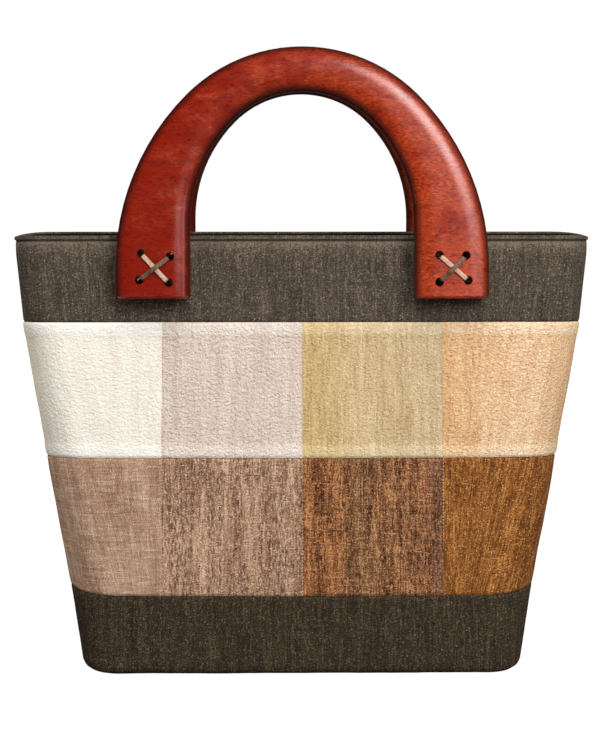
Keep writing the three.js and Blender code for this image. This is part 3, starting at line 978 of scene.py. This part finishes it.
# %% Helpers for values
def sums(tree, operation, *values):
    """Arithmetic with one, two or three values."""
    return put(tree, "Math", dict(enumerate(values)), operation=operation).outputs[0]


def times(tree, first, second, plus=0.0):
    """One value times another, plus a third."""
    return sums(tree, "MULTIPLY_ADD", first, second, plus)


def ranged(tree, value, low, high, to_low=0.0, to_high=1.0):
    """A value moved from one range into another, with a soft start and end."""
    sockets = {"Value": value, "From Min": low, "From Max": high, "To Min": to_low, "To Max": to_high}
    return put(tree, "MapRange", sockets, clamp=True, interpolation_type="SMOOTHSTEP").outputs["Result"]


def noise(tree, vector, detail, roughness, distortion=0.0, scale=1.0):
    """Cloudy values around 0.5."""
    sockets = {"Vector": vector, "Scale": scale, "Detail": detail, "Roughness": roughness,
               "Distortion": distortion}
    return put(tree, "TexNoise", sockets).outputs["Fac"]


def stretched(tree, vector, scale, location=(0, 0, 0)):
    """A place scaled along each axis and shifted."""
    return put(tree, "Mapping", {"Vector": vector, "Scale": scale, "Location": location}).outputs[0]


print("value helpers:", [helper.__name__ for helper in (sums, times, ranged, noise, stretched)])


# %% Helpers for marks and relief
def mark(tree, name):
    """The value of a mark that a piece carries on its mesh."""
    return put(tree, "Attribute", attribute_name=name).outputs["Fac"]


def bumped(tree, height, millimetres, strength=1.0):
    """The normal of a fine relief, as high as the millimetres say."""
    sockets = {"Height": height, "Distance": millimetres * MM, "Strength": strength}
    return put(tree, "Bump", sockets).outputs[0]


print("helpers:", mark.__name__, bumped.__name__)


# %% Helpers for colours
# numbers of the sockets of a Mix node: its two inputs and its result
MIX_SOCKETS = {"FLOAT": (2, 3, 0), "RGBA": (6, 7, 2)}


def screen(red, green, blue):
    """A colour as a screen shows it, from 0 to 255, as the shader needs it."""
    shares = [value / 255 for value in (red, green, blue)]
    return (*[s / 12.92 if s <= 0.04045 else ((s + 0.055) / 1.055) ** 2.4 for s in shares], 1)


def mixed(tree, share, first, second, kind="RGBA", **options):
    """Two colours, or two values, mixed by a share of the second."""
    to_first, to_second, result = MIX_SOCKETS[kind]
    sockets = {"Factor": share, to_first: first, to_second: second}
    return put(tree, "Mix", sockets, data_type=kind, **options).outputs[result]


def ramp(tree, value, stops):
    """Colours along a value, from stops that have a place and a screen colour."""
    node = put(tree, "ValToRGB", {0: value})
    elements = node.color_ramp.elements
    for element, (place, colour) in zip(elements, (stops[0], stops[-1])):
        element.position, element.color = place, screen(*colour)
    for place, colour in stops[1:-1]:
        elements.new(place).color = screen(*colour)
    return node.outputs[0]


print("middle grey:", [round(value, 3) for value in screen(119, 119, 119)])


# %% Helpers for node groups
def new_group(name, values, outputs):
    """A node group that reads a place on the cloth and some values; gives its tree and its two ends."""
    group = bpy.data.node_groups.new(name, "ShaderNodeTree")
    group.interface.new_socket(name="Cloth", in_out="INPUT", socket_type="NodeSocketVector")
    for way, labels in (("INPUT", values), ("OUTPUT", outputs)):
        for label in labels:
            group.interface.new_socket(name=label, in_out=way, socket_type="NodeSocketFloat")
    return group, group.nodes.new("NodeGroupInput").outputs, group.nodes.new("NodeGroupOutput")


def use(tree, group, **sockets):
    """Places a group in a material, with its own values, and gives its outputs."""
    return put(tree, "Group", sockets, node_tree=group).outputs


def moved(tree, operation, sockets):
    """Arithmetic with places."""
    return put(tree, "VectorMath", sockets, operation=operation).outputs[0]


print("group helpers:", [helper.__name__ for helper in (new_group, use, moved)])

# %% [markdown]
# ## Weave
# All the cloths are plain weaves of handspun yarn. Seen close, warp and weft pass over and under each
# other. Seen from a step back, what shows is that no two yarns have the same tone. The weave group
# gives both: which yarn is on top and how high it stands, and a tone for each warp and weft yarn. The
# yarns drift a little from straight, as in cloth woven by hand.

# %% Yarns of the weave
YARN_STEP = 5.17
DRIFT = 1.5
DRIFT_SCALE = 0.07
MIDDLE = (0.5, 0.5, 0.5)
weave, given, made = new_group("weave", ["Yarn", "Warp", "Weft", "Twist"], ["Tone", "Height"])
clouds = put(weave, "TexNoise", {"Vector": given["Cloth"], "Scale": DRIFT_SCALE, "Detail": 1.0})
centred = moved(weave, "SUBTRACT", {0: clouds.outputs["Color"], 1: MIDDLE})
drift = moved(weave, "SCALE", {0: centred, "Scale": DRIFT})
drawn = moved(weave, "ADD", {0: given["Cloth"], 1: drift})
yarns = moved(weave, "SCALE", {0: drawn, "Scale": sums(weave, "DIVIDE", 1.0, given["Yarn"])})
count = put(weave, "SeparateXYZ", {0: yarns}).outputs
warp_number, weft_number = [times(weave, sums(weave, "FLOOR", count[axis]), YARN_STEP) for axis in "XY"]
warp_wave, weft_wave = [sums(weave, "SINE", times(weave, count[axis], math.pi)) for axis in "XY"]
print("drift of the yarns: up to", DRIFT / 2, "mm")


# %% Tone and height of the weave
def yarn_tone(number, along, share):
    """Tone of a yarn: one along the whole of it, and one that changes with its twist."""
    def tone(step, layer, detail, roughness):
        place = put(weave, "CombineXYZ", {"X": number, "Y": times(weave, along, step), "Z": layer})
        return sums(weave, "SUBTRACT", noise(weave, place.outputs[0], detail, roughness), 0.5)

    whole = times(weave, tone(step=0.04, layer=0, detail=2, roughness=0.6), share)
    twisted = tone(step=0.25, layer=7, detail=1, roughness=0.5)
    return times(weave, times(weave, twisted, given["Twist"], whole), 2.0)


warp_over = ranged(weave, times(weave, warp_wave, weft_wave), -0.6, 0.25)
weft_tone = yarn_tone(weft_number, count["X"], given["Weft"])
warp_tone = yarn_tone(warp_number, count["Y"], given["Warp"])
crowns = [sums(weave, "ABSOLUTE", wave) for wave in (weft_wave, warp_wave)]
feed(weave, made, {"Tone": mixed(weave, warp_over, weft_tone, warp_tone, kind="FLOAT"),
                   "Height": mixed(weave, warp_over, *crowns, kind="FLOAT")})
print("weave nodes:", len(weave.nodes))

# %% [markdown]
# ## Streaks, slubs, nubs and flecks
# Dye takes unevenly along the warp, which leaves streaks. Handspun yarn has thick places, called slubs,
# that run along a thread. The pale cloths are also crinkled all over in small nubs, and the brown ones
# carry light flecks of lint. Each is a noise of its own: stretched along the warp for streaks and
# slubs, even for nubs, and single cells for flecks.

# %% Streak and slub groups
SLUB_START = 0.74
SLUB_SPREAD = 0.5
SLUB_RANGE = 0.2


def along_warp(group, given):
    """A place measured in widths across the warp and lengths along it."""
    place = put(group, "SeparateXYZ", {0: given["Cloth"]}).outputs
    widths = sums(group, "DIVIDE", place["X"], given["Width"])
    lengths = sums(group, "DIVIDE", place["Y"], given["Length"])
    return put(group, "CombineXYZ", {"X": widths, "Y": lengths}).outputs[0]


streaks, given, made = new_group("streaks", ["Width", "Length"], ["Tone"])
uneven = noise(streaks, along_warp(streaks, given), detail=3, roughness=0.6)
feed(streaks, made, {"Tone": uneven})

slubs, given, made = new_group("slubs", ["Width", "Length", "Share"], ["Mask"])
start = times(slubs, given["Share"], -SLUB_SPREAD, SLUB_START)
thick = noise(slubs, along_warp(slubs, given), detail=2, roughness=0.55)
feed(slubs, made, {"Mask": ranged(slubs, thick, start, sums(slubs, "ADD", start, SLUB_RANGE))})
print("nodes:", {group.name: len(group.nodes) for group in (streaks, slubs)})

# %% Nub and fleck groups
FLECK_EDGE = 0.42
FLECK_CORE = 0.2
nubs, given, made = new_group("nubs", ["Size"], ["Height"])
scale = sums(nubs, "DIVIDE", 1.0, given["Size"])
crinkle = noise(nubs, given["Cloth"], detail=2.5, roughness=0.55, distortion=0.5, scale=scale)
feed(nubs, made, {"Height": crinkle})

flecks, given, made = new_group("flecks", ["Spacing", "Share"], ["Mask"])
scale = sums(flecks, "DIVIDE", 1.0, given["Spacing"])
cells = put(flecks, "TexVoronoi", {"Vector": given["Cloth"], "Scale": scale}).outputs
lot = put(flecks, "SeparateColor", {0: cells["Color"]}).outputs[0]
chosen = sums(flecks, "LESS_THAN", lot, given["Share"])
dots = ranged(flecks, cells["Distance"], FLECK_EDGE, FLECK_CORE)
feed(flecks, made, {"Mask": times(flecks, chosen, dots)})
print("nodes:", {group.name: len(group.nodes) for group in (nubs, flecks)})

# %% [markdown]
# ## Cloth finish
# One function builds every cloth from the groups, in steps: the tone of the bare weave, the marks in
# it, the dye that changes from side to side, which on the cream and ochre patches also paints shade on
# the rounded end, and the darker ditches, painted with the shade and the lint that gather there. Each
# cloth has its own values: three tones of yarn, how strongly warp and weft differ, and a colour for
# slubs, one for dark dashes and one for flecks. Values that a cloth doesn't name are the plain ones.

# %% Tone of the bare weave
FUZZ = 0.9
AREAS = {"Width": 6.25, "Length": 62.5}
PRESSED_HIGHLIGHT_AND_PALENESS = 0.14
TONE_STOPS = (0.15, 0.5, 0.85)
YARN_RELIEF = 0.25
PLAIN_CLOTH = dict(
    yarn=0.8, warp=0.3, weft=0.2, twist=0.3, grain=0.2, patchy=0.2, nub=0.0, depth=0.2, dye=None,
    slub=None, slub_share=0.3, slub_size=(1.2, 30), dash=None, dash_share=0.5,
    fleck=None, fleck_share=0.2, ditch_share=0.25, ditch_colour=None)


def bare_weave(tree, cloth, tones, look):
    """Colour and height of a cloth before its marks."""
    woven = use(tree, weave, Cloth=cloth, Yarn=look.yarn, Warp=look.warp, Weft=look.weft,
                Twist=look.twist)
    fuzz = use(tree, nubs, Cloth=cloth, Size=FUZZ)["Height"]
    areas = use(tree, streaks, Cloth=cloth, **AREAS)["Tone"]
    pressed = mark(tree, "pressed")
    # The pressed mark paints the cloth paler: a painted highlight on the raised strips of the upper
    # patches and on the band's bead, and a paler strip below the band's groove.
    tone = sums(tree, "ADD", woven["Tone"], 0.5 - look.grain - look.patchy)
    for part, strength in ((fuzz, 2 * look.grain), (areas, 2 * look.patchy), (pressed, PRESSED_HIGHLIGHT_AND_PALENESS)):
        tone = times(tree, part, strength, tone)
    colour = ramp(tree, tone, list(zip(TONE_STOPS, tones)))
    return colour, times(tree, woven["Height"], YARN_RELIEF, fuzz)


print("plain values of a cloth:", len(PLAIN_CLOTH))

# %% Marks in the weave
NUB = 1.8
DASH_ZONES = {"Width": 5, "Length": 70, "Share": 0.7}
DASHES = {"Width": 1.1, "Length": 4.5}
FLECK_SPACING = 1.4


def add_marks(tree, cloth, look, colour, height):
    """Dashes, slubs and flecks, each with a colour, cover and height, and the nubs of a crinkle."""
    marks = []
    if look.dash:
        zones = use(tree, slubs, Cloth=cloth, **DASH_ZONES)["Mask"]
        dashes = use(tree, slubs, Cloth=cloth, **DASHES, Share=look.dash_share)["Mask"]
        marks.append((times(tree, zones, dashes), look.dash, 0.8, 0.0))
    if look.slub:
        width, length = look.slub_size
        thick = use(tree, slubs, Cloth=cloth, Width=width, Length=length, Share=look.slub_share)["Mask"]
        marks.append((thick, look.slub, 0.7, 0.4))
    if look.fleck:
        lint = use(tree, flecks, Cloth=cloth, Spacing=FLECK_SPACING, Share=look.fleck_share)["Mask"]
        marks.append((lint, look.fleck, 0.8, 0.5))
    for mask, tint, cover, stands in marks:
        colour = mixed(tree, times(tree, mask, cover), colour, screen(*tint))
        height = times(tree, mask, stands, height)
    if look.nub:
        height = times(tree, use(tree, nubs, Cloth=cloth, Size=NUB)["Height"], look.nub, height)
    return colour, height


print("nubs of", NUB, "mm, flecks every", FLECK_SPACING, "mm")

# %% Dye, and painted shade at the rounded ends
DYE_WIDTH = 80 * MM
BORDERS = {"Width": 4, "Length": 50}
WANDER = 0.3


def dyed_and_end_shaded(tree, flat, cloth, colour, dye):
    """Dye in soft bands across a patch, whose borders wander along the warp; at the rounded end of the
    cream and ochre patches, a band is painted shade.
    """
    across = put(tree, "SeparateXYZ", {0: flat}).outputs["X"]
    wander = use(tree, streaks, Cloth=cloth, **BORDERS)["Tone"]
    place = times(tree, across, 1 / DYE_WIDTH, times(tree, wander, WANDER, -WANDER / 2))
    return mixed(tree, 1.0, colour, ramp(tree, place, dye), blend_type="MULTIPLY")


print("dye across", DYE_WIDTH, "m")

# %% Cloth finish
IN_MM = (1000, 1000, 1000)


def cloth_finish(name, tones, shift, **own):
    """A woven cloth. Tones are colours; the other values are shares, or sizes in millimetres."""
    look = SimpleNamespace(**{**PLAIN_CLOTH, **own})
    material, tree, shader = new_material(name)
    flat = put(tree, "UVMap", uv_map="cloth").outputs[0]
    cloth = stretched(tree, flat, IN_MM, (*shift, 0))
    colour, height = add_marks(tree, cloth, look, *bare_weave(tree, cloth, tones, look))
    if look.dye:
        colour = dyed_and_end_shaded(tree, flat, cloth, colour, look.dye)
    # Painted shade, with lint, darkens the ditches and the band's groove where the seam mark is high.
    shade_and_lint_in_ditch = times(tree, mark(tree, "seam"), look.ditch_share)
    shade = mixed(tree, shade_and_lint_in_ditch, colour, screen(*(look.ditch_colour or tones[0])))
    relief = bumped(tree, height, look.depth)
    feed(tree, shader, {"Base Color": shade, "Normal": relief, "Roughness": 0.92,
                        "Specular IOR Level": 0.15})
    return material


# One dark finish for the inside of every cloth: painted shade, for the shadow inside the bag.
inside_painted_shade = cloth_finish("inside_painted_shade", ((22, 17, 13), (32, 26, 21), (42, 35, 29)), (19, 44))
print("nodes of the inside cloth:", len(inside_painted_shade.node_tree.nodes))

# %% Cloths of the upper patches
finishes = {
    "cream": cloth_finish(
        "cream_weave", ((214, 198, 172), (246, 238, 223), (255, 255, 250)), (3, 8),
        weft=0.15, twist=0.15, nub=3.6, depth=0.23, ditch_share=0.2,
        # the warm, darker dye at the rounded end, on the left, is painted shade
        dye=[(0, (255, 238, 214)), (0.4, (255, 255, 255)), (1, (255, 255, 255))]),
    "mushroom": cloth_finish(
        "mushroom_weave", ((170, 144, 126), (224, 204, 188), (252, 242, 230)), (40, 21),
        warp=0.25, twist=0.2, grain=0.3, nub=4.2, depth=0.34, ditch_share=0.2),
    "khaki": cloth_finish(
        "khaki_weave", ((152, 126, 76), (209, 183, 140), (242, 224, 188)), (77, 5),
        warp=0.42, weft=0.15, twist=0.25, grain=0.35, patchy=0.25, nub=3.2, depth=0.31, ditch_share=0.2,
        slub=(172, 144, 86), slub_share=0.15,
        dye=[(0, (250, 243, 220)), (0.35, (255, 252, 246)), (1, (250, 248, 252))]),
    "peach": cloth_finish(
        "peach_weave", ((184, 128, 76), (234, 195, 154), (255, 238, 212)), (120, 14),
        warp=0.4, weft=0.15, twist=0.25, grain=0.45, patchy=0.22, nub=3.8, depth=0.34, ditch_share=0.2,
        slub=(202, 142, 86), slub_share=0.2,
        dye=[(0, (246, 234, 214)), (0.5, (255, 254, 252)), (1, (252, 244, 230))]),
}
print("upper cloths:", list(finishes))

# %% Cloths of the lower patches
finishes["taupe"] = cloth_finish(
    "taupe_weave", ((112, 79, 59), (174, 138, 112), (230, 202, 178)), (11, 90),
    yarn=0.75, warp=0.4, weft=0.8, twist=0.2, grain=0.3, patchy=0.25,
    fleck=(216, 190, 164), fleck_share=0.14)
finishes["bark"] = cloth_finish(
    "bark_weave", ((80, 51, 37), (169, 131, 104), (228, 191, 163)), (55, 70),
    yarn=0.75, warp=0.75, weft=0.4, twist=0.4, grain=0.55, patchy=0.3,
    slub=(150, 84, 56), slub_share=0.2, dash=(82, 56, 42), dash_share=0.6,
    fleck=(224, 198, 172), fleck_share=0.18)
finishes["russet"] = cloth_finish(
    "russet_weave", ((52, 33, 25), (136, 97, 68), (210, 164, 121)), (88, 102),
    yarn=0.75, warp=0.8, weft=0.7, twist=0.45, grain=0.6, patchy=0.4,
    slub=(186, 94, 48), slub_share=0.24, dash=(48, 32, 27), dash_share=0.54,
    fleck=(230, 168, 116), fleck_share=0.22,
    dye=[(0, (255, 228, 206)), (0.25, (252, 228, 206)), (0.4, (230, 228, 216)),
         (0.55, (250, 236, 220)), (0.85, (240, 220, 208)), (1, (214, 206, 212))])
finishes["ochre"] = cloth_finish(
    "ochre_weave", ((66, 37, 13), (130, 78, 36), (204, 145, 80)), (140, 61),
    yarn=0.75, warp=0.8, weft=0.4, twist=0.4, grain=0.5, patchy=0.3,
    slub=(190, 134, 66), slub_share=0.24, fleck=(222, 172, 106), fleck_share=0.22,
    # the slightly darker dye at the rounded end, on the right, is painted shade
    dye=[(0, (252, 246, 236)), (0.35, (255, 252, 246)), (1, (255, 246, 236))])
print("patch cloths:", len(finishes))

# %% Cloths of the band and the base
# The band's nearly black ditch colour, over its groove and ditches, is painted shade.
finishes["band"] = cloth_finish(
    "band_linen", ((34, 28, 23), (75, 65, 55), (130, 115, 99)), (7, 33),
    yarn=0.75, warp=0.42, weft=0.34, grain=0.5, patchy=0.18,
    slub=(128, 110, 84), slub_share=0.16, slub_size=(0.7, 60),
    fleck=(146, 130, 108), fleck_share=0.14, ditch_share=0.85, ditch_colour=(24, 19, 15))
finishes["base"] = cloth_finish(
    "base_linen", ((22, 17, 12), (54, 45, 33), (104, 88, 66)), (61, 17),
    yarn=0.75, warp=0.46, weft=0.35, twist=0.35, grain=0.5, patchy=0.16,
    slub=(108, 86, 62), slub_share=0.16, slub_size=(0.7, 60),
    fleck=(124, 100, 74), fleck_share=0.14)
print("cloths:", list(finishes))


# %% [markdown]
# ## Threads
# A thread is only about half a millimetre thick, so one even colour is enough for it: a dark one for
# the rim and a pale one for the seams of the patches.

# %% Thread finish
def thread(name, colour):
    """One matt colour all over."""
    material, tree, shader = new_material(name)
    feed(tree, shader, {"Base Color": screen(*colour), "Roughness": 0.8})
    return material


rim_thread = thread("rim_thread", (58, 47, 38))
seam_thread = thread("seam_thread", (208, 176, 138))
print("threads:", rim_thread.name, seam_thread.name)

# %% [markdown]
# ## Lacquered wood
# The handles are a red-brown wood under a satin lacquer. The grain runs level across the arch, because
# the arch is sawn from one board. The stain is blotchy, from deep red to orange, with dark pores and
# bright sparks between them. It is paler and less glossy to the right, and turns nearly black along the
# edges, where the inward mark of the handle is small: partly stain, and partly painted shade on the
# edges and inner sides that turn from the light. Each layer is mixed over the one before.

# %% Noises of the wood
FIGURE_SCALE = (60, 200, 420)
BLOTCH_SCALE = (60, 60, 90)
PORE_SCALE = (420, 1100, 1500)
PALER_RIGHT = 1.45
BLOTCHY = 0.85
PALE_START = 0.09
wood, tree, shader = new_material("red_wood")
board = put(tree, "TexCoord").outputs["Object"]
figure = noise(tree, stretched(tree, board, FIGURE_SCALE), detail=4, roughness=0.6, distortion=0.6)
blotch = noise(tree, stretched(tree, board, BLOTCH_SCALE), detail=5, roughness=0.6, distortion=0.4)
pores = noise(tree, stretched(tree, board, PORE_SCALE), detail=2, roughness=0.6)
rightwards = put(tree, "SeparateXYZ", {0: board}).outputs["X"]
paler = times(tree, rightwards, PALER_RIGHT, times(tree, blotch, BLOTCHY, PALE_START))
print("noise nodes of the wood:", len(tree.nodes))

# %% Wood finish
PORE_DEPTH = 0.06
sparks = times(tree, ranged(tree, pores, 0.44, 0.36), ranged(tree, paler, 0.44, 0.66))
stain = mixed(tree, ranged(tree, paler, 0.36, 0.72), screen(139, 25, 3), screen(175, 55, 13))
layers = [
    (ranged(tree, figure, 0.42, 0.72, to_high=0.45), (100, 22, 10)),
    (ranged(tree, pores, 0.53, 0.66, to_high=0.6), (62, 13, 6)),
    (times(tree, sparks, 0.45), (220, 100, 36)),
    # nearly black by the edges: stain, with painted shade on the edges and inner sides that turn from
    # the light
    (ranged(tree, mark(tree, "inward"), 5.5, 0.3, to_high=0.88), (46, 12, 8)),
]
for share, tint in layers:
    stain = mixed(tree, share, stain, screen(*tint))
gloss = ranged(tree, paler, 0.3, 0.75, to_low=0.2, to_high=0.33)
grain = bumped(tree, pores, PORE_DEPTH, strength=0.5)
feed(tree, shader, {"Base Color": stain, "Roughness": gloss, "Normal": grain})
print("wood nodes:", len(tree.nodes))

# %% [markdown]
# ## Leather laces
# The two thongs are one leather, worn smooth. The strand that runs down to the right catches the light
# and the other lies in shade, so the pale and the dark finish are a lit and a shaded copy of that
# leather, with the light and the shade painted in. A fine noise along each piece is enough at this size.

# %% Lace finish
HIDE_SCALE = 900


def leather(name, light, dark):
    """A thong that changes finely between two colours."""
    material, tree, shader = new_material(name)
    hide = put(tree, "TexCoord").outputs["Object"]
    worn = ranged(tree, noise(tree, hide, detail=3, roughness=0.6, scale=HIDE_SCALE), 0.35, 0.65)
    colour = mixed(tree, worn, screen(*light), screen(*dark))
    feed(tree, shader, {"Base Color": colour, "Roughness": 0.6})
    return material


# The pale finish is the lit copy of the leather and the dark one its shaded copy: painted light and
# shade.
leathers = {
    "under": (leather("painted_lit_leather", (216, 178, 154), (184, 142, 118)), "pale_lace"),
    "over": (leather("painted_shaded_leather", (116, 84, 58), (90, 62, 42)), "dark_lace"),
}
print("leathers:", [slot for _, slot in leathers.values()])

# %% [markdown]
# ## Dressing the frame
# Each piece now gets its finish and its shading, hides the solid of the frame that it stands for, and
# rides on the bag. The back is copied from the front, piece by piece, before either is dressed.

# %% Dress a piece
SMOOTH_BELOW = math.radians(40)


def dress(piece, nodes, slot, *materials):
    """Finish and shading; the solids of the frame that the piece stands for are hidden."""
    while len(piece.data.materials) < len(materials):
        piece.data.materials.append(None)
    for index, material in enumerate(materials):
        piece.data.materials[index] = material
    choose(piece)
    bpy.ops.object.shade_smooth_by_angle(angle=SMOOTH_BELOW)
    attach(piece, "root")
    if nodes:
        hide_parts(*nodes)


print("smooth below", round(math.degrees(SMOOTH_BELOW)), "degrees")


# %% Dress both sides
def both_sides(piece, node, slot, *materials, cut=None, held_by=None):
    """Copies a front piece to the back and dresses both."""
    copied = copy_to_back(piece, piece.name.replace("front", "back"))
    for side, made in (("front", piece), ("back", copied)):
        dress(made, [node.format(side=side)] if node else [], slot, *materials)


HELD_BY = {"upper": "{side}_top_band", "lower": "{side}_base"}
for cloth_name, _, row in PATCHES:
    both_sides(patches[cloth_name], f"patch_{{side}}_{cloth_name}", f"{cloth_name}_cloth",
               finishes[cloth_name], inside_painted_shade, cut=cuts[cloth_name], held_by=HELD_BY[row])
print("dressed patches:", 2 * len(patches))

# %% Dress the band and the base
both_sides(band, "top_band_{side}", "band_cloth", finishes["band"], inside_painted_shade,
           cut=band_cut, held_by="{side}_handle")
both_sides(base, "base_{side}", "base_cloth", finishes["base"], inside_painted_shade,
           cut=base_cut, held_by="bottom_cloth")
dress(bottom, ["base_bottom"], "base_cloth", finishes["base"], inside_painted_shade)
print("dressed:", [cloth.name for cloth in (band, base, bottom)])

# %% Dress the handles, the laces and the stitches
both_sides(handle, "handle_{side}", "handle_wood", wood)
for (foot, strand), lace in laces.items():
    finish, slot = leathers[strand]
    both_sides(lace, f"lace_{{side}}_{foot}_{strand}", slot, finish)
both_sides(stitches, "", "band_cloth", rim_thread, seam_thread)
